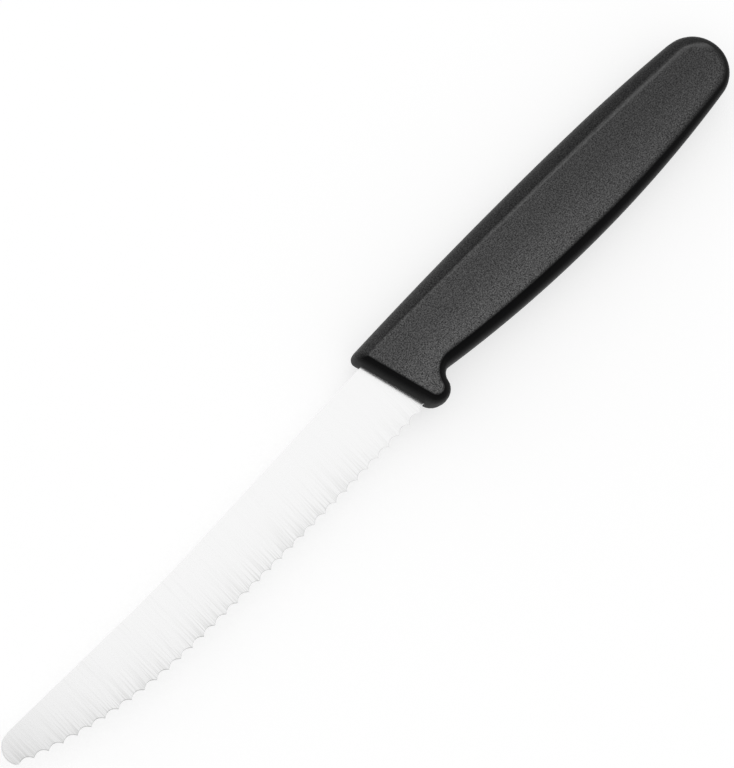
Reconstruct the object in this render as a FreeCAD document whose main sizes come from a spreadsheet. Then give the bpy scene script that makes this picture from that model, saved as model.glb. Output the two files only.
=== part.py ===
# Tomato knife: a stamped, serrated blade whose flat tang is held in a plastic handle moulded round it.
# Millimetres. The knife lies on the flat of its handle: X runs from the round tip to the butt, the cutting
# edge faces -Y, the spine faces +Y, and Z goes through the thickness.
# Sizes are measured from the front datum, where the handle's slanted front crosses the knife's long axis.
import FreeCAD, Part
import math
import os
import Sketcher
from FreeCAD import Placement, Rotation, Vector

# Driving sizes, in millimetres, with angles in degrees and shares of the length that they follow.
SIZES = {
    # Blade outline: tip to front datum, the spine's two heights, and the line through the teeth's points.
    "blade_length": 110.2,
    "tip_radius": 3.8,
    "spine_tip_height": 2.66,
    "spine_heel_height": 6.4,
    "spine_bend_share": 0.584,
    "spine_bend_radius": 400.0,
    "edge_depth": 11.12,
    "edge_heel_lift": 1.8,
    "edge_lowest_share": 0.622,
    "tip_corner_angle": 41.5,
    # Blade section: the sheet, the ground edge, and the stock that the teeth are ground out of.
    "sheet_thickness": 1.2,
    "edge_thickness": 0.4,
    "tooth_stock": 0.3,
    "tip_stock_angle": 10.0,
    # Teeth: hollow flutes ground into the far face, which meet in points at the near face.
    "tooth_pitch": 3.25,
    "tooth_depth": 0.88,
    "flute_tilt": 15.0,
    # Tang, with the holes that the plastic flows through.
    "heel_bury": 2.2,
    "tang_height": 8.5,
    "tang_shoulder": 0.95,
    "tang_end_cover": 35.0,
    "key_diameter": 5.0,
    "front_key_share": 0.34,
    "rear_key_share": 0.76,
    # Handle outline at the parting plane, half-way through the thickness.
    # A relief is how much smaller the butt's upper radius is than the crown's height above the butt's end.
    "handle_length": 104.35,
    "handle_thickness": 12.0,
    "front_slant": 16.3,
    "front_overhang": 2.9,
    "crown_rise": 1.9,
    "crown_share": 0.642,
    "nose_radius": 1.3,
    "butt_rise": 2.1,
    "butt_upper_relief": 0.9,
    "butt_lower_radius": 7.65,
    "belly_depth": 9.0,
    "belly_share": 0.49,
    "throat_radius": 2.26,
    "guard_radius": 3.4,
    "guard_cover": 1.85,
    # Flat side panels: how far their outline lies inside the parting outline, and how its top runs.
    "front_inset": 1.6,
    "nose_inset": 2.25,
    "panel_crown_rise": 0.75,
    "panel_nose_radius": 0.4,
    "butt_inset": 3.4,
    "panel_upper_relief": 0.2,
    "butt_lower_inset": 2.75,
    "belly_inset": 3.18,
    "throat_inset": 3.14,
    "guard_inset": 2.04,
    "guard_bottom_inset": 2.29,
    # Borders: how high the shoulder lies between the parting plane and a panel, and how far in it has come.
    "shoulder_height_share": 0.667,
    "shoulder_inset_share": 0.24,
    # How far every cutting tool runs past the solid that it cuts.
    "overrun": 1.0,
}

# Sizes that follow from the driving ones.
DERIVED = {
    "bend_place": "spine_bend_share * blade_length",
    "edge_place": "edge_lowest_share * blade_length",
    "edge_heel_depth": "edge_depth - edge_heel_lift",
    "edge_heel_radius": "(edge_place ^ 2 + edge_heel_lift ^ 2) / (2 * edge_heel_lift)",
    "tip_corner_x": "tip_radius - blade_length - tip_radius * cos(tip_corner_angle * 1 deg)",
    "tip_corner_y": "spine_tip_height - tip_radius - tip_radius * sin(tip_corner_angle * 1 deg)",
    "edge_tip_reach": "-edge_place - tip_corner_x",
    "edge_tip_lift": "edge_depth + tip_corner_y",
    "edge_tip_radius": "(edge_tip_reach ^ 2 + edge_tip_lift ^ 2) / (2 * edge_tip_lift)",
    "stock_angle": "tip_corner_angle + tip_stock_angle",
    "stock_corner_x": "tip_radius - blade_length - tip_radius * cos(stock_angle * 1 deg)",
    "stock_corner_y": "spine_tip_height - tip_radius - tip_radius * sin(stock_angle * 1 deg)",
    "stock_depth": "edge_depth + tooth_stock",
    "stock_reach": "-edge_place - stock_corner_x",
    "stock_lift": "stock_depth + stock_corner_y",
    "stock_tip_radius": "(stock_reach ^ 2 + stock_lift ^ 2) / (2 * stock_lift)",
    "stock_heel_radius": "edge_heel_radius + tooth_stock",
    "grind_slope": "(sheet_thickness - edge_thickness) / 2 / (spine_heel_height + edge_depth)",
    "grind_foot": "stock_depth + overrun",
    "grind_foot_thickness": "edge_thickness / 2 - grind_slope * (grind_foot - edge_depth)",
    "grind_end": "edge_depth * tan(front_slant * 1 deg) + overrun",
    "flute_sag": "tooth_depth * sin(flute_tilt * 1 deg)",
    "flute_radius": "(tooth_pitch ^ 2 / 4 + flute_sag ^ 2) / (2 * flute_sag)",
    "flute_inner": "sheet_thickness / sin(flute_tilt * 1 deg) + overrun",
    "flute_outer": "tooth_depth + tooth_stock + overrun",
    "tang_radius": "tang_height / 2",
    "tang_rise": "spine_heel_height - tang_shoulder - tang_radius",
    "tang_length": "handle_length - tang_end_cover",
    "front_key_place": "front_key_share * tang_length",
    "rear_key_place": "rear_key_share * tang_length",
    "crown_place": "crown_share * handle_length",
    "belly_place": "belly_share * handle_length",
    "guard_depth": "edge_heel_depth + guard_cover",
    "front_height": "spine_heel_height + front_overhang",
    "lowest_depth": "max(guard_depth; edge_depth)",
    "parting_front": "0",
    "parting_length": "handle_length",
    "parting_upper_radius": "parting_crown_height - butt_rise - butt_upper_relief",
    "parting_lower_radius": "butt_lower_radius",
    "parting_front_height": "front_height",
    "parting_crown_height": "front_height + crown_rise",
    "parting_nose_radius": "nose_radius",
    "parting_belly_depth": "belly_depth",
    "parting_throat_radius": "throat_radius",
    "parting_guard_radius": "guard_radius",
    "parting_guard_depth": "guard_depth",
    "panel_front": "front_inset",
    "panel_length": "handle_length - butt_inset",
    "panel_upper_radius": "panel_crown_height - butt_rise - panel_upper_relief",
    "panel_lower_radius": "butt_lower_radius - butt_lower_inset",
    "panel_front_height": "front_height - nose_inset",
    "panel_crown_height": "panel_front_height + panel_crown_rise",
    "panel_belly_depth": "belly_depth - belly_inset",
    "panel_throat_radius": "throat_radius + throat_inset",
    "panel_guard_radius": "guard_radius - guard_inset",
    "panel_guard_depth": "guard_depth - guard_bottom_inset",
    "shoulder_height": "shoulder_height_share * handle_thickness / 2",
}

# The shoulder outlines lie between the parting outline and the panels, and give the borders their roundness.
for name in ("front", "length", "upper_radius", "lower_radius", "front_height", "crown_height",
             "nose_radius", "belly_depth", "throat_radius", "guard_radius", "guard_depth"):
    inset = f"(parting_{name} - panel_{name}) * shoulder_inset_share"
    DERIVED[f"shoulder_{name}"] = f"parting_{name} - {inset}"

# Radii of the big arcs of the handle outlines, which pass through given heights and run on into the butt.
for section in ("parting", "shoulder", "panel"):
    fall = f"({section}_crown_height - {section}_front_height)"
    DERIVED[f"{section}_crown_radius"] = f"(crown_place ^ 2 + {fall} ^ 2) / (2 * {fall})"
    reach = f"({section}_length - {section}_upper_radius - crown_place)"
    rise = f"({section}_crown_height - butt_rise)"
    radius = f"{section}_upper_radius"
    DERIVED[f"{section}_rear_radius"] = (
        f"({reach} ^ 2 + {rise} ^ 2 - {radius} ^ 2) / (2 * ({rise} - {radius}))")
    reach = f"({section}_length - {section}_lower_radius - belly_place)"
    drop = f"({section}_belly_depth + butt_rise)"
    radius = f"{section}_lower_radius"
    DERIVED[f"{section}_belly_radius"] = (
        f"({reach} ^ 2 + {drop} ^ 2 - {radius} ^ 2) / (2 * ({drop} - {radius}))")

doc = FreeCAD.newDocument("tomato_knife")
sheet = doc.addObject("Spreadsheet::Sheet", "sizes")
row = 0
for alias, value in SIZES.items():
    row += 1
    sheet.set(f"A{row}", alias)
    sheet.set(f"B{row}", str(value))
    sheet.setAlias(f"B{row}", alias)
for alias, formula in DERIVED.items():
    row += 1
    sheet.set(f"A{row}", alias)
    sheet.set(f"B{row}", f"={formula}")
    sheet.setAlias(f"B{row}", alias)
doc.recompute()


def size(alias):
    value = sheet.get(alias)
    return float(getattr(value, "Value", value))


# The knife's box is centred on the origin and stands on it.
SHIFT = {
    "x": "(sizes.blade_length - sizes.handle_length) / 2",
    "y": "(sizes.lowest_depth - sizes.parting_crown_height) / 2",
    "z": "sizes.handle_thickness / 2",
}
shift = Vector((size("blade_length") - size("handle_length")) / 2,
               (size("lowest_depth") - size("parting_crown_height")) / 2,
               size("handle_thickness") / 2)
slant = math.radians(size("front_slant"))
inward = Vector(math.cos(slant), math.sin(slant), 0)
NEAR = Vector(0, 0, 1)
START, END, CENTRE = range(1, 4)
ORIGIN = (-1, START)


def new_body(name):
    body = doc.addObject("PartDesign::Body", name)
    body.Placement = Placement(shift, Rotation())
    for axis, formula in SHIFT.items():
        body.setExpression(f"Placement.Base.{axis}", formula)
    return body


def new_sketch(body, name, role, offset=None):
    sketch = body.newObject("Sketcher::SketchObject", name)
    plane = next(item for item in body.Origin.OriginFeatures if item.Role == role)
    sketch.AttachmentSupport = [(plane, "")]
    sketch.MapMode = "FlatFace"
    if offset:
        sketch.setExpression("AttachmentOffset.Base.z", offset)
    return sketch


def bind(sketch, kind, *references, formula, value):
    index = sketch.addConstraint(Sketcher.Constraint(kind, *references, value))
    sketch.setExpression(f"Constraints[{index}]", formula)


def place_point(sketch, geometry, position, point, x_formula=None, y_formula=None):
    if x_formula:
        bind(sketch, "DistanceX", *ORIGIN, geometry, position, formula=x_formula, value=point.x)
    if y_formula:
        bind(sketch, "DistanceY", *ORIGIN, geometry, position, formula=y_formula, value=point.y)


def add_line(sketch, start, end):
    return sketch.addGeometry(Part.LineSegment(start, end))


def add_arc(sketch, centre, start, end):
    # An arc always runs anticlockwise from its start to its end.
    first = math.atan2(start.y - centre.y, start.x - centre.x)
    last = math.atan2(end.y - centre.y, end.x - centre.x)
    circle = Part.Circle(centre, NEAR, start.distanceToPoint(centre))
    return sketch.addGeometry(Part.ArcOfCircle(circle, first, last))


def join_smoothly(sketch, *joints):
    for joint in joints:
        sketch.addConstraint(Sketcher.Constraint("Tangent", *joint))


def join_at_corner(sketch, *joints):
    for joint in joints:
        sketch.addConstraint(Sketcher.Constraint("Coincident", *joint))


def towards(start, end, distance):
    return start + (end - start).normalize() * distance


def meeting_points(first, first_radius, second, second_radius):
    # Both points where two circles cross, the one on the left of the way from first to second coming first.
    span = first.distanceToPoint(second)
    along = (first_radius ** 2 - second_radius ** 2 + span ** 2) / (2 * span)
    across = math.sqrt(first_radius ** 2 - along ** 2)
    middle = towards(first, second, along)
    way = (second - first).normalize()
    left = Vector(-way.y, way.x, 0)
    return middle + left * across, middle - left * across


def on_slanted_line(inset, height):
    # The point at a height on a line that lies parallel to the handle's front, inset from it.
    return Vector((inset - height * inward.y) / inward.x, height, 0)


# Blade blank: the stamped outline of blade and tang, with stock left along the edge for the teeth.
blank = new_body("blade_blank")
outline = new_sketch(blank, "blank_outline", "XY_Plane")

spine_tip = Vector(size("tip_radius") - size("blade_length"), size("spine_tip_height"), 0)
tip_centre = spine_tip - Vector(0, size("tip_radius"), 0)
tip_corner = Vector(size("stock_corner_x"), size("stock_corner_y"), 0)
lowest = Vector(-size("edge_place"), -size("stock_depth"), 0)
edge_tip_centre = lowest + Vector(0, size("stock_tip_radius"), 0)
edge_heel_centre = lowest + Vector(0, size("stock_heel_radius"), 0)

# The heel ends on a line inside the handle, parallel to its front.
heel_line_nearest = inward * size("heel_bury")
down = Vector(inward.y, -inward.x, 0)
heel_offset = (edge_heel_centre - heel_line_nearest).dot(inward)
heel_drop = math.sqrt(size("stock_heel_radius") ** 2 - heel_offset ** 2)
heel_corner = edge_heel_centre - inward * heel_offset + down * heel_drop
tang_below = on_slanted_line(size("heel_bury"), size("tang_rise") - size("tang_radius"))
tang_above = on_slanted_line(size("heel_bury"), size("tang_rise") + size("tang_radius"))
tang_centre = Vector(size("tang_length") - size("tang_radius"), size("tang_rise"), 0)
tang_end_below = tang_centre - Vector(0, size("tang_radius"), 0)
tang_end_above = tang_centre + Vector(0, size("tang_radius"), 0)

spine_bend = Vector(-size("bend_place"), size("spine_tip_height"), 0)
spine_heel = Vector(0, size("spine_heel_height"), 0)
spine_way = (spine_heel - spine_bend).normalize()
spine_angle = math.atan2(spine_way.y, spine_way.x)
bend_reach = size("spine_bend_radius") * math.tan(spine_angle / 2)
bend_tip = spine_bend - Vector(bend_reach, 0, 0)
bend_heel = spine_bend + spine_way * bend_reach
bend_centre = bend_tip + Vector(0, size("spine_bend_radius"), 0)
spine_bury = (size("heel_bury") - spine_heel.dot(inward)) / spine_way.dot(inward)
spine_corner = spine_heel + spine_way * spine_bury

tip = add_arc(outline, tip_centre, spine_tip, tip_corner)
edge_tip = add_arc(outline, edge_tip_centre, tip_corner, lowest)
edge_heel = add_arc(outline, edge_heel_centre, lowest, heel_corner)
heel_lower = add_line(outline, heel_corner, tang_below)
tang_lower = add_line(outline, tang_below, tang_end_below)
tang_end = add_arc(outline, tang_centre, tang_end_below, tang_end_above)
tang_upper = add_line(outline, tang_end_above, tang_above)
heel_upper = add_line(outline, tang_above, spine_corner)
spine_heel_run = add_line(outline, spine_corner, bend_heel)
bend = add_arc(outline, bend_centre, bend_tip, bend_heel)
spine_tip_run = add_line(outline, bend_tip, spine_tip)
bend_mark = outline.addGeometry(Part.Point(spine_bend), True)
heel_mark = outline.addGeometry(Part.Point(spine_heel), True)

join_smoothly(outline, (edge_tip, END, edge_heel, START), (tang_lower, END, tang_end, START),
              (tang_end, END, tang_upper, START), (spine_heel_run, END, bend, END),
              (bend, START, spine_tip_run, START), (spine_tip_run, END, tip, START))
join_at_corner(outline, (tip, END, edge_tip, START), (edge_heel, END, heel_lower, START),
               (heel_lower, END, tang_lower, START), (tang_upper, END, heel_upper, START),
               (heel_upper, END, spine_heel_run, START))
for level_line in (spine_tip_run, tang_lower, tang_upper):
    outline.addConstraint(Sketcher.Constraint("Horizontal", level_line))
outline.addConstraint(Sketcher.Constraint("Vertical", edge_tip, CENTRE, edge_tip, END))
for mark in (bend_mark, heel_mark):
    outline.addConstraint(Sketcher.Constraint("PointOnObject", mark, START, spine_heel_run))
outline.addConstraint(Sketcher.Constraint("Vertical", *ORIGIN, heel_mark, START))
place_point(outline, heel_mark, START, spine_heel, y_formula="sizes.spine_heel_height")
place_point(outline, bend_mark, START, spine_bend, "-sizes.bend_place", "sizes.spine_tip_height")
place_point(outline, tip, START, spine_tip, y_formula="sizes.spine_tip_height")
place_point(outline, tip, CENTRE, tip_centre, "sizes.tip_radius - sizes.blade_length")
place_point(outline, edge_tip, END, lowest, "-sizes.edge_place", "-sizes.stock_depth")
place_point(outline, tang_lower, START, tang_below, y_formula="sizes.tang_rise - sizes.tang_radius")
place_point(outline, tang_end, CENTRE, tang_centre, "sizes.tang_length - sizes.tang_radius")
for arc, name in ((tip, "tip_radius"), (edge_tip, "stock_tip_radius"), (edge_heel, "stock_heel_radius"),
                  (tang_end, "tang_radius"), (bend, "spine_bend_radius")):
    bind(outline, "Radius", arc, formula=f"sizes.{name}", value=size(name))
for heel_line in (heel_lower, heel_upper):
    bind(outline, "Angle", heel_line, formula="(90 + sizes.front_slant) * 1 deg", value=math.pi / 2 + slant)
    bind(outline, "Distance", *ORIGIN, heel_line, formula="sizes.heel_bury", value=size("heel_bury"))

stamping = blank.newObject("PartDesign::Pad", "stamping")
stamping.Profile = outline
stamping.SideType = "Symmetric"
stamping.setExpression("Length", "sizes.sheet_thickness")
doc.recompute()

# Key holes: the handle's plastic runs through them and locks the tang.
key_sketch = new_sketch(blank, "key_outlines", "XY_Plane")
for key in ("front_key", "rear_key"):
    centre = Vector(size(f"{key}_place"), size("tang_rise"), 0)
    hole = key_sketch.addGeometry(Part.Circle(centre, NEAR, size("key_diameter") / 2))
    place_point(key_sketch, hole, CENTRE, centre, f"sizes.{key}_place", "sizes.tang_rise")
    bind(key_sketch, "Diameter", hole, formula="sizes.key_diameter", value=size("key_diameter"))
keys = blank.newObject("PartDesign::Pocket", "key_holes")
keys.Profile = key_sketch
keys.SideType = "Symmetric"
keys.setExpression("Length", "sizes.sheet_thickness + 2 * sizes.overrun")
doc.recompute()

# Flat grind on both faces, from full thickness at the spine to the thin edge. It stops inside the handle.
grind_sketch = new_sketch(blank, "grind_outline", "YZ_Plane", "sizes.grind_end")
half_sheet = size("sheet_thickness") / 2
for sign in (1, -1):
    corners = [
        (Vector(size("spine_heel_height"), sign * half_sheet, 0),
         "sizes.spine_heel_height", f"{sign} * sizes.sheet_thickness / 2"),
        (Vector(size("spine_heel_height"), sign * (half_sheet + size("overrun")), 0),
         "sizes.spine_heel_height", f"{sign} * (sizes.sheet_thickness / 2 + sizes.overrun)"),
        (Vector(-size("grind_foot"), sign * (half_sheet + size("overrun")), 0),
         "-sizes.grind_foot", f"{sign} * (sizes.sheet_thickness / 2 + sizes.overrun)"),
        (Vector(-size("grind_foot"), sign * size("grind_foot_thickness"), 0),
         "-sizes.grind_foot", f"{sign} * sizes.grind_foot_thickness"),
    ]
    points = [corner[0] for corner in corners]
    sides = [add_line(grind_sketch, a, b) for a, b in zip(points, points[1:] + points[:1])]
    join_at_corner(grind_sketch, *((a, END, b, START) for a, b in zip(sides, sides[1:] + sides[:1])))
    for side, corner in zip(sides, corners):
        place_point(grind_sketch, side, START, *corner)
grind = blank.newObject("PartDesign::Pocket", "flat_grind")
grind.Profile = grind_sketch
grind.setExpression("Length", "sizes.grind_end + sizes.blade_length + sizes.overrun")
doc.recompute()

# Teeth: tilted round flutes, ground into the far face one after another, which meet in points.
cusp_tip_centre = Vector(-size("edge_place"), size("edge_tip_radius") - size("edge_depth"), 0)
cusp_heel_centre = Vector(-size("edge_place"), size("edge_heel_radius") - size("edge_depth"), 0)
first_angle = -math.asin(size("edge_tip_reach") / size("edge_tip_radius"))
tip_run = -first_angle * size("edge_tip_radius")
tilt = math.radians(size("flute_tilt"))


def edge_point(run):
    # The point of the tooth line at a distance along it from the first tooth, and the way out of the blade.
    if run < tip_run:
        centre, radius = cusp_tip_centre, size("edge_tip_radius")
        angle = first_angle + run / radius
    else:
        centre, radius = cusp_heel_centre, size("edge_heel_radius")
        angle = (run - tip_run) / radius
    out = Vector(math.sin(angle), -math.cos(angle), 0)
    return centre + out * radius, out


flute_count = 0
blade = blank
while edge_point(flute_count * size("tooth_pitch"))[0].dot(inward) < 0:
    place, out = edge_point((flute_count + 0.5) * size("tooth_pitch"))
    valley = place - out * size("tooth_depth")
    face = size("edge_thickness") / 2 + size("grind_slope") * (valley.y + size("edge_depth"))
    way = out * math.cos(tilt) + NEAR * math.sin(tilt)
    aside = out * math.sin(tilt) - NEAR * math.cos(tilt)
    start = valley + NEAR * face + aside * size("flute_radius") - way * size("flute_inner")
    flute_count += 1
    flute = doc.addObject("Part::Cylinder", f"flute_{flute_count}")
    flute.setExpression("Radius", "sizes.flute_radius")
    flute.setExpression("Height", "sizes.flute_inner + sizes.flute_outer")
    flute.Placement = Placement(shift + start, Rotation(NEAR, way))
    ground = doc.addObject("Part::Cut", f"ground_{flute_count}")
    ground.Base = blade
    ground.Tool = flute
    ground.Refine = False
    blade = ground
blade.Label = "blade"
doc.recompute()


def handle_outline(body, section, offset=None):
    # One closed outline of the handle: the slanted front, then anticlockwise round the guard, the finger
    # throat, the belly, the butt, the crown and the nose, every arc running smoothly into the next.
    sketch = new_sketch(body, f"{section}_outline", "XY_Plane", offset)
    here = {name: size(f"{section}_{name}") for name in (
        "front", "length", "upper_radius", "lower_radius", "crown_height", "crown_radius", "rear_radius",
        "nose_radius", "belly_radius", "throat_radius", "guard_radius", "guard_depth")}
    butt_end = Vector(here["length"], size("butt_rise"), 0)
    upper_centre = butt_end - Vector(here["upper_radius"], 0, 0)
    lower_centre = butt_end - Vector(here["lower_radius"], 0, 0)
    crown_top = Vector(size("crown_place"), here["crown_height"], 0)
    rear_centre = crown_top - Vector(0, here["rear_radius"], 0)
    crown_centre = crown_top - Vector(0, here["crown_radius"], 0)
    belly_reach = lower_centre.x - size("belly_place")
    belly_height = math.sqrt((here["belly_radius"] - here["lower_radius"]) ** 2 - belly_reach ** 2)
    belly_centre = Vector(size("belly_place"), size("butt_rise") + belly_height, 0)
    guard_height = here["guard_radius"] - here["guard_depth"]
    guard_centre = on_slanted_line(here["front"] + here["guard_radius"], guard_height)
    throat_centre = meeting_points(guard_centre, here["guard_radius"] + here["throat_radius"],
                                   belly_centre, here["belly_radius"] + here["throat_radius"])[1]
    nose_inset = here["front"] + here["nose_radius"]
    nose_offset = nose_inset - crown_centre.dot(inward)
    nose_rise = math.sqrt((here["crown_radius"] - here["nose_radius"]) ** 2 - nose_offset ** 2)
    nose_centre = crown_centre + inward * nose_offset - down * nose_rise

    nose_front = nose_centre - inward * here["nose_radius"]
    front_guard = guard_centre - inward * here["guard_radius"]
    guard_throat = towards(guard_centre, throat_centre, here["guard_radius"])
    throat_belly = towards(throat_centre, belly_centre, here["throat_radius"])
    belly_butt = towards(belly_centre, lower_centre, here["belly_radius"])
    butt_crown = towards(rear_centre, upper_centre, here["rear_radius"])
    crown_nose = towards(crown_centre, nose_centre, here["crown_radius"])

    front = add_line(sketch, nose_front, front_guard)
    guard = add_arc(sketch, guard_centre, front_guard, guard_throat)
    throat = add_arc(sketch, throat_centre, throat_belly, guard_throat)
    belly = add_arc(sketch, belly_centre, throat_belly, belly_butt)
    lower = add_arc(sketch, lower_centre, belly_butt, butt_end)
    upper = add_arc(sketch, upper_centre, butt_end, butt_crown)
    rear = add_arc(sketch, rear_centre, butt_crown, crown_top)
    crown = add_arc(sketch, crown_centre, crown_top, crown_nose)
    nose = add_arc(sketch, nose_centre, crown_nose, nose_front)
    join_smoothly(sketch, (front, END, guard, START), (guard, END, throat, END),
                  (throat, START, belly, START), (belly, END, lower, START), (lower, END, upper, START),
                  (upper, END, rear, START), (rear, END, crown, START), (crown, END, nose, START),
                  (nose, END, front, START))
    sketch.addConstraint(Sketcher.Constraint("Horizontal", upper, CENTRE, upper, START))
    sketch.addConstraint(Sketcher.Constraint("Vertical", rear, CENTRE, rear, END))
    bind(sketch, "Angle", front, formula="(sizes.front_slant - 90) * 1 deg", value=slant - math.pi / 2)
    if here["front"]:
        bind(sketch, "Distance", *ORIGIN, front, formula=f"sizes.{section}_front", value=here["front"])
    else:
        sketch.addConstraint(Sketcher.Constraint("PointOnObject", *ORIGIN, front))
    place_point(sketch, upper, START, butt_end, f"sizes.{section}_length", "sizes.butt_rise")
    place_point(sketch, rear, END, crown_top, "sizes.crown_place", f"sizes.{section}_crown_height")
    place_point(sketch, belly, CENTRE, belly_centre, "sizes.belly_place")
    place_point(sketch, guard, CENTRE, guard_centre,
                y_formula=f"sizes.{section}_guard_radius - sizes.{section}_guard_depth")
    for arc, name in ((guard, "guard_radius"), (throat, "throat_radius"), (belly, "belly_radius"),
                      (lower, "lower_radius"), (upper, "upper_radius"), (crown, "crown_radius"),
                      (nose, "nose_radius")):
        bind(sketch, "Radius", arc, formula=f"sizes.{section}_{name}", value=here[name])
    return sketch


# Handle: one moulding, with two flat side panels whose borders curve down to the parting plane. The blade's
# own shape is left out of it, so that the plastic lies on the tang all round and fills its key holes.
moulding = new_body("handle_moulding")
far_panel = handle_outline(moulding, "panel", "-sizes.handle_thickness / 2")
far_shoulder = handle_outline(moulding, "shoulder", "-sizes.shoulder_height")
parting = handle_outline(moulding, "parting")
near_shoulder = handle_outline(moulding, "shoulder", "sizes.shoulder_height")
near_panel = handle_outline(moulding, "panel", "sizes.handle_thickness / 2")
doc.recompute()
shell = moulding.newObject("PartDesign::AdditiveLoft", "shell")
shell.Profile = far_panel
shell.Sections = [far_shoulder, parting, near_shoulder, near_panel]
doc.recompute()
handle = doc.addObject("Part::Cut", "handle")
handle.Base = moulding
handle.Tool = blade
doc.recompute()

for item in doc.Objects:
    if "Invalid" in item.State or "Error" in item.State:
        raise RuntimeError(f"{item.Name} failed: {item.State}")
os.makedirs("parts", exist_ok=True)
for node in (blade, handle):
    if node.Shape.isNull() or not node.Shape.isValid() or len(node.Shape.Solids) != 1:
        raise RuntimeError(f"{node.Label} is not one valid solid")
    node.Shape.exportStep(f"parts/{node.Label}.step")
    box = node.Shape.BoundBox
    print(node.Label, f"{node.Shape.Volume:.1f} mm3", [round(value, 3) for value in (
        box.XMin, box.XMax, box.YMin, box.YMax, box.ZMin, box.ZMax)])
print(flute_count, "flutes")
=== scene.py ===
import math

import bmesh
import bpy
from mathutils import Matrix, Vector


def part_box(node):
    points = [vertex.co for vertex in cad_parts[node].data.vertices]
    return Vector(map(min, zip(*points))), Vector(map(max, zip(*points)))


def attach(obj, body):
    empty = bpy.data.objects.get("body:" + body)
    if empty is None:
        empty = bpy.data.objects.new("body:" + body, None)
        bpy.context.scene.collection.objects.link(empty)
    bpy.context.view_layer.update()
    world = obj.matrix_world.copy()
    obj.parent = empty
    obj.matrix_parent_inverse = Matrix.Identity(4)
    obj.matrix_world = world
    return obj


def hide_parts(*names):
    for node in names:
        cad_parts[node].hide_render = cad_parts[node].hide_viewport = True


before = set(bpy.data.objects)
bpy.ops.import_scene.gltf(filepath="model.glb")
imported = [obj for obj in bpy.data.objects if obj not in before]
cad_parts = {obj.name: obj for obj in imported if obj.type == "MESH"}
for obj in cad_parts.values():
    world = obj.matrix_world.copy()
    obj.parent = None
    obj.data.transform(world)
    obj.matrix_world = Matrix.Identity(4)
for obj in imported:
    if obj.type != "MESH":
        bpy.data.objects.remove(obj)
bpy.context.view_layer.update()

# Blade: one stamping of thin stainless steel, ground flat on both faces with fine marks across its length,
# then hollow ground from the far face into a row of pointed teeth. Its tang runs on inside the handle.
MM = 0.001
TOUCHING = 0.001 * MM
SMOOTH_ANGLE = math.radians(35)
SPINE_BREAK = 0.1 * MM
SPINE_BREAK_STEPS = 2
TOOTH_BEVEL = 0.18 * MM
TOOTH_BEVEL_DROP = 0.02 * MM
FLAT_ANGLE = math.radians(0.3)
CORNER_ANGLES = (math.radians(60), math.radians(120))
FACING_UP = 0.99

# The line through the points of the teeth: two arcs that run into each other at its lowest place.
TOOTH_LINE_LOWEST = Vector((-65.62 * MM, -11.12 * MM, 0))
TOOTH_LINE_RADII = {"tip": 114.7 * MM, "heel": 1306.0 * MM}

# Grinding marks darken the steel by shares: wide ones all over, and fine ones that fade away from the teeth.
# Both fade towards the heel.
STEEL_BRIGHT = (0.905, 0.905, 0.905, 1)
STEEL_STREAK = (0.63, 0.63, 0.625, 1)
STEEL_ROUGHNESS = 0.17
WIDE_MARKS = {"spacing": (0.6 * MM, 16.0 * MM, 16.0 * MM), "detail": 4.0, "roughness": 0.6}
WIDE_MARK_RANGE = (0.45, 0.8)
WIDE_MARK_SHARES = (0.0, 0.15)
WIDE_FADE_RANGE = (-70.0 * MM, -20.0 * MM)
FINE_MARKS = {"spacing": (0.35 * MM, 11.0 * MM, 11.0 * MM), "detail": 3.0, "roughness": 0.6}
FINE_MARK_RANGE = (0.4, 0.66)
FINE_MARK_SHARES = (0.2, 0.85)
FINE_FADE_RANGE = (-26.0 * MM, -4.0 * MM)
HEEL_SHARES = (1.0, 0.35)
TOOTH_FADE = 3.2 * MM
MARK_DEPTH = 0.004 * MM
MARK_STRENGTH = 0.3


def finished_piece(name, bm, material):
    # A mesh object of the finished shape, riding on the knife, smooth where its faces meet gently.
    mesh = bpy.data.meshes.new(name)
    bm.to_mesh(mesh)
    bm.free()
    mesh.shade_smooth()
    mesh.set_sharp_from_angle(angle=SMOOTH_ANGLE)
    mesh.materials.append(material)
    piece = bpy.data.objects.new(name, mesh)
    bpy.context.scene.collection.objects.link(piece)
    weighting = piece.modifiers.new("flat_faces_stay_flat", "WEIGHTED_NORMAL")
    weighting.keep_sharp = True
    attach(piece, "root")
    return piece


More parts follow.
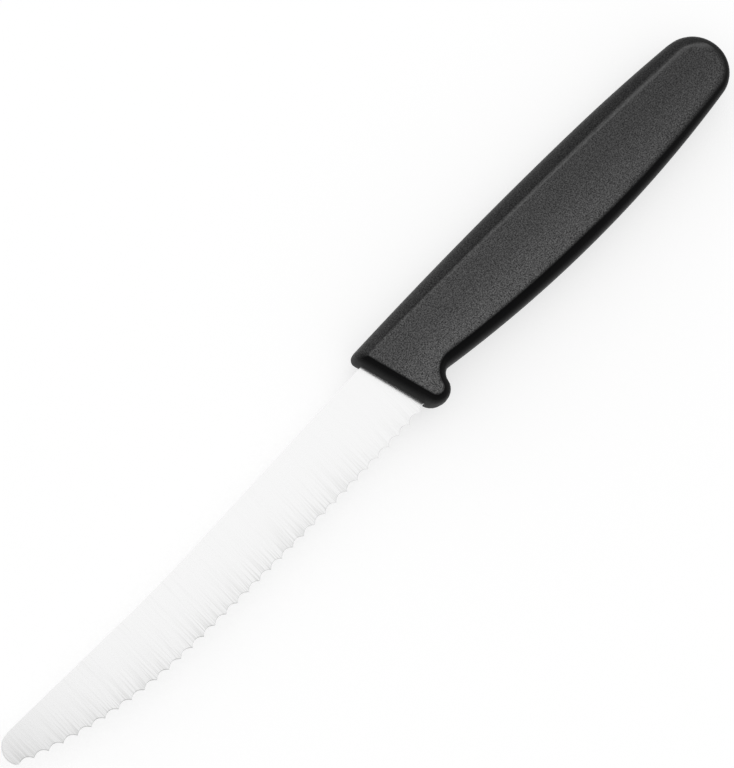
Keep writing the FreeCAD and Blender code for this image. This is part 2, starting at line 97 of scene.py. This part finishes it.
class Finish:
    # A material's node tree, with short ways to add the nodes that the finishes of this knife need.
    def __init__(self, name, **settings):
        self.material = bpy.data.materials.new(name)
        self.material.use_nodes = True
        self.tree = self.material.node_tree
        self.shader = self.tree.nodes["Principled BSDF"]
        for socket, value in settings.items():
            self.shader.inputs[socket.replace("_", " ")].default_value = value
        self.place = self.tree.nodes.new("ShaderNodeTexCoord").outputs["Object"]

    def feed(self, socket, value):
        if isinstance(value, bpy.types.NodeSocket):
            self.tree.links.new(value, socket)
        else:
            socket.default_value = value

    def wire(self, socket_name, value):
        self.feed(self.shader.inputs[socket_name], value)

    def axis(self, name):
        # The object coordinate along one axis.
        node = self.tree.nodes.new("ShaderNodeSeparateXYZ")
        self.feed(node.inputs["Vector"], self.place)
        return node.outputs[name]

    def attribute(self, name):
        node = self.tree.nodes.new("ShaderNodeAttribute")
        node.attribute_name = name
        return node.outputs["Fac"]

    def math(self, operation, *values):
        node = self.tree.nodes.new("ShaderNodeMath")
        node.operation = operation
        for socket, value in zip(node.inputs, values):
            self.feed(socket, value)
        return node.outputs["Value"]

    def vector(self, operation, first, second):
        node = self.tree.nodes.new("ShaderNodeVectorMath")
        node.operation = operation
        for socket, value in zip(node.inputs, (first, second)):
            self.feed(socket, value)
        return node.outputs["Value" if operation == "DISTANCE" else "Vector"]

    def ramp(self, value, low, high, bottom, top):
        # Goes smoothly from bottom to top while the value goes from low to high.
        node = self.tree.nodes.new("ShaderNodeMapRange")
        node.interpolation_type = "SMOOTHSTEP"
        for socket, number in zip(("Value", "From Min", "From Max", "To Min", "To Max"),
                                  (value, low, high, bottom, top)):
            self.feed(node.inputs[socket], number)
        return node.outputs["Result"]

    def noise(self, spacing, detail, roughness):
        # Cloudy noise whose marks lie about this far apart along X, Y and Z.
        mapping = self.tree.nodes.new("ShaderNodeMapping")
        mapping.inputs["Scale"].default_value = [1 / gap for gap in spacing]
        self.feed(mapping.inputs["Vector"], self.place)
        node = self.tree.nodes.new("ShaderNodeTexNoise")
        node.inputs["Scale"].default_value = 1.0
        node.inputs["Detail"].default_value = detail
        node.inputs["Roughness"].default_value = roughness
        self.feed(node.inputs["Vector"], mapping.outputs["Vector"])
        return node.outputs["Fac"]

    def blend(self, factor, first, second):
        # A mix of two colours. The node has sockets for other kinds of value between these.
        node = self.tree.nodes.new("ShaderNodeMix")
        node.data_type = "RGBA"
        sockets = {socket.identifier: socket for socket in node.inputs}
        self.feed(sockets["Factor_Float"], factor)
        self.feed(sockets["A_Color"], first)
        self.feed(sockets["B_Color"], second)
        return next(socket for socket in node.outputs if socket.identifier == "Result_Color")

    def bump(self, height, depth, strength):
        node = self.tree.nodes.new("ShaderNodeBump")
        node.inputs["Strength"].default_value = strength
        node.inputs["Distance"].default_value = depth
        self.feed(node.inputs["Height"], height)
        self.wire("Normal", node.outputs["Normal"])


steel = Finish("ground_steel", Metallic=1.0, Roughness=STEEL_ROUGHNESS)
along_blade = steel.axis("X")
flat_place = steel.vector("MULTIPLY", steel.place, (1, 1, 0))
inside = {}
for stretch, radius in TOOTH_LINE_RADII.items():
    centre = TOOTH_LINE_LOWEST + Vector((0, radius, 0))
    inside[stretch] = steel.math("SUBTRACT", radius, steel.vector("DISTANCE", flat_place, centre))
is_heel = steel.math("GREATER_THAN", along_blade, TOOTH_LINE_LOWEST.x)
is_tip = steel.math("SUBTRACT", 1.0, is_heel)
from_teeth = steel.math("ADD", steel.math("MULTIPLY", is_heel, inside["heel"]),
                        steel.math("MULTIPLY", is_tip, inside["tip"]))
near_teeth = steel.math("EXPONENT", steel.math("DIVIDE", from_teeth, -TOOTH_FADE))

fine_marks = steel.noise(**FINE_MARKS)
wide_marks = steel.noise(**WIDE_MARKS)
wide_share = steel.math("MULTIPLY", steel.ramp(wide_marks, *WIDE_MARK_RANGE, *WIDE_MARK_SHARES),
                        steel.ramp(along_blade, *WIDE_FADE_RANGE, *HEEL_SHARES))
fine_fade = steel.math("MULTIPLY", near_teeth, steel.ramp(along_blade, *FINE_FADE_RANGE, *HEEL_SHARES))
fine_share = steel.math("MULTIPLY", fine_fade, steel.ramp(fine_marks, *FINE_MARK_RANGE, *FINE_MARK_SHARES))
streak_share = steel.math("MAXIMUM", wide_share, fine_share)
steel.wire("Base Color", steel.blend(streak_share, STEEL_BRIGHT, STEEL_STREAK))
steel.bump(steel.math("ADD", fine_marks, wide_marks), MARK_DEPTH, MARK_STRENGTH)

# A fine bevel runs round the near face, and its outer line drops at the teeth.
blade_shape = bmesh.new()
blade_shape.from_mesh(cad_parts["blade"].data)
bmesh.ops.remove_doubles(blade_shape, verts=blade_shape.verts, dist=TOUCHING)
bmesh.ops.dissolve_limit(blade_shape, angle_limit=FLAT_ANGLE, verts=blade_shape.verts,
                         edges=blade_shape.edges)
square_corners = [edge for edge in blade_shape.edges
                  if CORNER_ANGLES[0] < edge.calc_face_angle(0) < CORNER_ANGLES[1]]
bmesh.ops.bevel(blade_shape, geom=square_corners, offset=SPINE_BREAK, affect="EDGES",
                segments=SPINE_BREAK_STEPS, profile=0.5, material=-1, clamp_overlap=True)
near_face = max((face for face in blade_shape.faces if face.normal.z > FACING_UP),
                key=bmesh.types.BMFace.calc_area)
tooth_line = {vert for edge in near_face.edges if edge.calc_face_angle(0) > CORNER_ANGLES[1]
              for vert in edge.verts}
bmesh.ops.inset_individual(blade_shape, faces=[near_face], thickness=TOOTH_BEVEL, use_even_offset=True)
for vert in tooth_line:
    vert.co.z -= TOOTH_BEVEL_DROP
blade = finished_piece("knife_blade", blade_shape, steel.material)
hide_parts("blade")

# Handle: one black polypropylene moulding, shot round the tang. Its flat side panels have a fine spark-eroded
# grain from the mould, and smoother rounded borders run from them to the parting plane.
SLANT = math.radians(16.3)
BUTT_RISE = 2.1 * MM
CROWN_PLACE = 66.99 * MM
BELLY_PLACE = 51.13 * MM

# Each half has three outlines, one inside another: at the parting plane, at the crease round the panel, and
# round what stays flat where the crease is rolled over, most of all at the butt.
PARTING = {
    "front": 0.0, "length": 104.35 * MM, "front_height": 9.3 * MM, "crown_height": 11.2 * MM,
    "nose": 1.3 * MM, "upper": 8.2 * MM, "lower": 7.65 * MM, "belly_depth": 9.0 * MM,
    "throat": 2.26 * MM, "guard": 3.4 * MM, "guard_depth": 11.17 * MM,
}
PANEL = {
    "front": 1.6 * MM, "length": 100.95 * MM, "front_height": 7.05 * MM, "crown_height": 7.8 * MM,
    "nose": 0.4 * MM, "upper": 5.5 * MM, "lower": 4.9 * MM, "belly_depth": 5.82 * MM,
    "throat": 5.4 * MM, "guard": 1.36 * MM, "guard_depth": 8.88 * MM,
}
FLAT = {
    "front": 2.0 * MM, "length": 97.95 * MM, "front_height": 6.5 * MM, "crown_height": 6.8 * MM,
    "nose": 0.3 * MM, "upper": 3.1 * MM, "lower": 3.8 * MM, "belly_depth": 5.0 * MM,
    "throat": 6.2 * MM, "guard": 0.9 * MM, "guard_depth": 8.4 * MM,
}
ARC_STEPS = {
    "guard": 12, "throat": 10, "belly": 36, "lower": 14, "upper": 14, "rear": 16, "crown": 30, "nose": 6,
}
FRONT_STEPS = 8
BORDER_STEPS = 16
ROUND_SHARE = 0.427
ROLL_STEPS = 8
ROLL_START = 0.8
ROLL_PASSES = 36
ROLL_EASE = 0.5

low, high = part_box("handle")
datum = Vector((high.x - PARTING["length"], high.y - PARTING["crown_height"], 0))
half_thickness = (high.z - low.z) / 2
UP = Vector((0, 0, 1))
inward = Vector((math.cos(SLANT), math.sin(SLANT), 0))
along_front = Vector((-inward.y, inward.x, 0))


def heading(start, end):
    return math.atan2(end.y - start.y, end.x - start.x)


def arc_into(end_radius, reach, fall):
    # The radius of an arc that starts level and runs smoothly into a smaller arc, whose centre lies this far
    # along and this far in from the start. An end radius of 0 is a plain point.
    return (reach ** 2 + fall ** 2 - end_radius ** 2) / (2 * (fall - end_radius))


def meeting_point(first, first_radius, second, second_radius):
    # Where two circles cross, on the right of the way from the first centre to the second.
    span = second - first
    along = (first_radius ** 2 - second_radius ** 2 + span.length_squared) / (2 * span.length)
    across = math.sqrt(first_radius ** 2 - along ** 2)
    way = span.normalized()
    return first + way * along + Vector((way.y, -way.x, 0)) * across


def add_outline(bm, height, sizes):
    # A closed ring of edges: the slanted front, then anticlockwise arcs that run smoothly into each other.
    butt = Vector((sizes["length"], BUTT_RISE, height))
    upper = butt - Vector((sizes["upper"], 0, 0))
    lower = butt - Vector((sizes["lower"], 0, 0))
    crown_radius = arc_into(0, CROWN_PLACE, sizes["crown_height"] - sizes["front_height"])
    crown = Vector((CROWN_PLACE, sizes["crown_height"] - crown_radius, height))
    rear_radius = arc_into(sizes["upper"], upper.x - CROWN_PLACE, sizes["crown_height"] - BUTT_RISE)
    rear = Vector((CROWN_PLACE, sizes["crown_height"] - rear_radius, height))
    belly_radius = arc_into(sizes["lower"], lower.x - BELLY_PLACE, sizes["belly_depth"] + BUTT_RISE)
    belly = Vector((BELLY_PLACE, belly_radius - sizes["belly_depth"], height))
    guard_height = sizes["guard"] - sizes["guard_depth"]
    guard_inset = sizes["front"] + sizes["guard"]
    guard = Vector(((guard_inset - guard_height * inward.y) / inward.x, guard_height, height))
    throat = meeting_point(guard, sizes["guard"] + sizes["throat"], belly, belly_radius + sizes["throat"])
    nose_offset = sizes["front"] + sizes["nose"] - crown.dot(inward)
    nose_rise = math.sqrt((crown_radius - sizes["nose"]) ** 2 - nose_offset ** 2)
    nose = crown + inward * nose_offset + along_front * nose_rise

    front_out = math.pi + SLANT
    arcs = (("guard", guard, heading(guard, throat)), ("throat", throat, heading(belly, throat)),
            ("belly", belly, heading(belly, lower)), ("lower", lower, 0.0),
            ("upper", upper, heading(rear, upper)), ("rear", rear, math.pi / 2),
            ("crown", crown, heading(crown, nose)), ("nose", nose, front_out))
    start = bm.verts.new(guard - inward * sizes["guard"])
    corner, facing = start, front_out
    for name, centre, end_facing in arcs:
        turn = (end_facing - facing + math.pi) % (2 * math.pi) - math.pi
        spun = bmesh.ops.spin(bm, geom=[corner], cent=centre, axis=UP, angle=turn, steps=ARC_STEPS[name])
        corner = next(item for item in spun["geom_last"] if isinstance(item, bmesh.types.BMVert))
        facing = end_facing
    front = bm.edges.new((corner, start))
    bmesh.ops.subdivide_edges(bm, edges=[front], cuts=FRONT_STEPS - 1)


def border_inset(height):
    # The share of its width by which a border has come in, at a share of the height.
    return ROUND_SHARE * height ** 2 + (1 - ROUND_SHARE) * height ** 6


def border_height(inset):
    # The way back from border_inset. In the square of the height it is a cubic with one real root.
    slope = ROUND_SHARE / (1 - ROUND_SHARE)
    target = inset / (1 - ROUND_SHARE)
    angle = math.asinh(3 * target / (2 * slope) * math.sqrt(3 / slope)) / 3
    return math.sqrt(2 * math.sqrt(slope / 3) * math.sinh(angle))


def share_between(value, start, end):
    return min(max((value - start) / (end - start), 0), 1)


def edges_above(bm, height):
    return [edge for edge in bm.edges if min(vert.co.z for vert in edge.verts) > height - TOUCHING]


# One half is bridged from outline to outline and closed, with the inmost outline held up so that the bridge
# can't cross itself. Its rings are set at their heights, the crease is rolled over, and the half is mirrored.
handle_shape = bmesh.new()
add_outline(handle_shape, 0.0, PARTING)
add_outline(handle_shape, half_thickness, PANEL)
border = bmesh.ops.bridge_loops(handle_shape, edges=handle_shape.edges[:])
bmesh.ops.subdivide_edges(handle_shape, edges=border["edges"], cuts=BORDER_STEPS - 1, use_grid_fill=True)
held_up = 2 * half_thickness
add_outline(handle_shape, held_up, FLAT)
roll = bmesh.ops.bridge_loops(handle_shape, edges=edges_above(handle_shape, half_thickness))
bmesh.ops.subdivide_edges(handle_shape, edges=roll["edges"], cuts=ROLL_STEPS - 1, use_grid_fill=True)
closing = bmesh.ops.edgeloop_fill(handle_shape, edges=edges_above(handle_shape, held_up))
flat_verts = {vert for face in closing["faces"] for vert in face.verts}
for vert in handle_shape.verts:
    vert.co.z = half_thickness * border_height(share_between(vert.co.z, 0, half_thickness))
rolled = [vert for vert in handle_shape.verts
          if vert.co.z > ROLL_START * half_thickness and vert not in flat_verts]
for _ in range(ROLL_PASSES):
    bmesh.ops.smooth_vert(handle_shape, verts=rolled, factor=ROLL_EASE, use_axis_z=True)
bmesh.ops.mirror(handle_shape, geom=handle_shape.verts[:] + handle_shape.edges[:] + handle_shape.faces[:],
                 axis="Z", merge_dist=TOUCHING)
bmesh.ops.recalc_face_normals(handle_shape, faces=handle_shape.faces)

# The grain fades out below the crease, more slowly towards the butt. On the spine's side, where the light
# comes from, a thin grain runs on over the border as painted light, and the crease gets a painted highlight,
# least at the front.
GRAIN_EDGE = 0.93
GRAIN_FADES = (0.14, 0.4)
BUTT_FADE_START = 50.0 * MM
SPINE_PAINTED_LIGHT = 0.52
SPINE_LIGHT_TURN = (-0.15, 0.75)
HIGHLIGHT_TURN = 0.2
HIGHLIGHT_SPREAD = 0.16
HIGHLIGHT_HEIGHT = 0.9
HIGHLIGHT_PLACES = (-15.0 * MM, 50.0 * MM)


def between(low, high, share):
    return low + (high - low) * share


handle_shape.normal_update()
grain_and_spine_light = handle_shape.verts.layers.float.new("grain_and_spine_light")
painted_highlight = handle_shape.verts.layers.float.new("painted_highlight")
for vert in handle_shape.verts:
    height = abs(vert.co.z) / half_thickness
    fade = between(*GRAIN_FADES, share_between(vert.co.x, BUTT_FADE_START, PANEL["length"]))
    # Painted light: the border facing the spine's side gets a thin grain that paints it lighter, as if lit
    # from there.
    spine_painted_light = SPINE_PAINTED_LIGHT * share_between(vert.normal.y, *SPINE_LIGHT_TURN)
    vert[grain_and_spine_light] = max(1 - max(GRAIN_EDGE - border_inset(height), 0) / fade, spine_painted_light)
    # Painted highlight: a paler line along the crease where it turns towards the light on the spine's side.
    if height > HIGHLIGHT_HEIGHT:
        on_line = max(1 - abs(vert.normal.y - HIGHLIGHT_TURN) / HIGHLIGHT_SPREAD, 0)
        vert[painted_highlight] = on_line * share_between(vert.co.x, *HIGHLIGHT_PLACES)
bmesh.ops.translate(handle_shape, verts=handle_shape.verts, vec=datum + UP * (low.z + half_thickness))

# The plastic is black and dull. The grain's tops are paler than its pits, and a painted sheen makes them paler
# still at the front and on the cutting edge's side.
PLASTIC_BLACK = (0.004, 0.004, 0.0042, 1)
PLASTIC_SPECULAR = 0.04
PLASTIC_ROUGHNESS = (0.45, 0.55)
GRAIN_MARKS = {"spacing": (0.28 * MM, 0.28 * MM, 0.28 * MM), "detail": 6.0, "roughness": 0.8}
GRAIN_RANGE = (0.38, 0.66)
GRAIN_LOW = (0.02, 0.02, 0.0203, 1)
GRAIN_HIGH = (0.25, 0.249, 0.2495, 1)
GRAIN_TOPS_AND_SHEEN = (0.68, 0.44)
EDGE_SIDE_SHEEN_RANGE = (-4.0 * MM, 4.0 * MM)
EDGE_SIDE_PAINTED_SHEEN = (1.4, 0.95)
GRAIN_RELIEF = (0.15, 1.0)
GRAIN_DEPTH = 0.08 * MM
GRAIN_STRENGTH = 0.6
CREASE_HIGHLIGHT_GREY = (0.17, 0.17, 0.17, 1)
CREASE_HIGHLIGHT_SHARE = 0.5

plastic = Finish("moulded_plastic", Specular_IOR_Level=PLASTIC_SPECULAR)
# This share carries both the real grain of the panels and the painted light on the spine's border.
grain_and_spine_light_share = plastic.attribute("grain_and_spine_light")
painted_highlight_share = plastic.math("MULTIPLY", plastic.attribute("painted_highlight"), CREASE_HIGHLIGHT_SHARE)
grain = plastic.noise(**GRAIN_MARKS)
# Painted sheen: the grain's tops are made paler towards the front and on the cutting edge's side.
grain_top_and_sheen = plastic.math("MULTIPLY", plastic.ramp(plastic.axis("X"), 0.0, PARTING["length"], *GRAIN_TOPS_AND_SHEEN),
                         plastic.ramp(plastic.axis("Y"), *EDGE_SIDE_SHEEN_RANGE, *EDGE_SIDE_PAINTED_SHEEN))
grain_colour = plastic.blend(plastic.ramp(grain, *GRAIN_RANGE, 0.0, grain_top_and_sheen), GRAIN_LOW, GRAIN_HIGH)
plastic_colour = plastic.blend(grain_and_spine_light_share, PLASTIC_BLACK, grain_colour)
# The painted highlight on the crease is blended over the plastic's colour.
plastic.wire("Base Color", plastic.blend(painted_highlight_share, plastic_colour, CREASE_HIGHLIGHT_GREY))
plastic.wire("Roughness", plastic.ramp(grain_and_spine_light_share, 0.0, 1.0, *PLASTIC_ROUGHNESS))
relief = plastic.math("MULTIPLY", grain, plastic.ramp(grain_and_spine_light_share, 0.0, 1.0, *GRAIN_RELIEF))
plastic.bump(relief, GRAIN_DEPTH, GRAIN_STRENGTH)
handle = finished_piece("knife_handle", handle_shape, plastic.material)
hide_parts("handle")

# Studio: a plain floor that looks white, soft white light from all round that is brighter on the spine's
# side, one large softbox overhead, and the camera above the knife with the tip nearer to it.
WHITE = (1, 1, 1, 1)
FLOOR_SIZE = 6.0
FLOOR_PAINT = (0.45, 0.45, 0.45, 1)
FLOOR_ROUGHNESS = 0.9
FLOOR_LIFT = 0.64
WORLD_LEVELS = (0.45, 1.05)
SOFTBOX_PLACE = Vector((0.178, 0.06, 0.56))
SOFTBOX_SIDE = 0.5
SOFTBOX_RADIANCE = 0.3
CAMERA_TARGET = Vector((-0.485 * MM, 2.805 * MM, half_thickness))
CAMERA_DISTANCE = 664.0 * MM
CAMERA_TILT = math.radians(15)
CAMERA_ROLL = math.radians(43.995)
CAMERA_LENS = 150.47
CAMERA_SENSOR = 36.0
CAMERA_CLIP = 0.01

floor_shape = bmesh.new()
bmesh.ops.create_grid(floor_shape, x_segments=1, y_segments=1, size=FLOOR_SIZE / 2)
floor_mesh = bpy.data.meshes.new("floor")
floor_shape.to_mesh(floor_mesh)
floor_shape.free()
floor_paint = Finish("floor_paint", Base_Color=FLOOR_PAINT, Roughness=FLOOR_ROUGHNESS,
                     Specular_IOR_Level=0.0, Emission_Color=WHITE)
rays = floor_paint.tree.nodes.new("ShaderNodeLightPath").outputs
seen = floor_paint.math("MAXIMUM", rays["Is Camera Ray"], rays["Is Glossy Ray"])
seen = floor_paint.math("MAXIMUM", seen, rays["Is Transmission Ray"])
floor_paint.wire("Emission Strength", floor_paint.math("MULTIPLY", seen, FLOOR_LIFT))
floor_mesh.materials.append(floor_paint.material)
floor = bpy.data.objects.new("floor", floor_mesh)
bpy.context.scene.collection.objects.link(floor)

world = bpy.data.worlds.new("studio")
world.use_nodes = True
sky = world.node_tree
background = sky.nodes["Background"]
background.inputs["Color"].default_value = WHITE
direction = sky.nodes.new("ShaderNodeSeparateXYZ")
sky.links.new(sky.nodes.new("ShaderNodeTexCoord").outputs["Generated"], direction.inputs["Vector"])
level = sky.nodes.new("ShaderNodeMapRange")
sky.links.new(direction.outputs["Y"], level.inputs["Value"])
for socket, number in zip(("From Min", "From Max", "To Min", "To Max"), (-1.0, 1.0, *WORLD_LEVELS)):
    level.inputs[socket].default_value = number
sky.links.new(level.outputs["Result"], background.inputs["Strength"])
bpy.context.scene.world = world

lamp = bpy.data.lights.new("overhead_softbox", "AREA")
lamp.shape = "SQUARE"
lamp.size = SOFTBOX_SIDE
lamp.energy = SOFTBOX_RADIANCE * math.pi * SOFTBOX_SIDE ** 2
softbox = bpy.data.objects.new("overhead_softbox", lamp)
knife_middle = Vector((0, 0, half_thickness))
softbox_turn = (knife_middle - SOFTBOX_PLACE).to_track_quat("-Z", "Y")
softbox.matrix_world = Matrix.Translation(SOFTBOX_PLACE) @ softbox_turn.to_matrix().to_4x4()
bpy.context.scene.collection.objects.link(softbox)

camera_data = bpy.data.cameras.new("camera")
camera_data.lens = CAMERA_LENS
camera_data.sensor_width = CAMERA_SENSOR
camera_data.clip_start = CAMERA_CLIP
camera = bpy.data.objects.new("camera", camera_data)
camera.matrix_world = (Matrix.Translation(CAMERA_TARGET) @ Matrix.Rotation(-CAMERA_TILT, 4, "Y")
                       @ Matrix.Rotation(-CAMERA_ROLL, 4, "Z") @ Matrix.Translation((0, 0, CAMERA_DISTANCE)))
bpy.context.scene.collection.objects.link(camera)
bpy.context.scene.camera = camera
bpy.context.scene.view_settings.view_transform = "Standard"
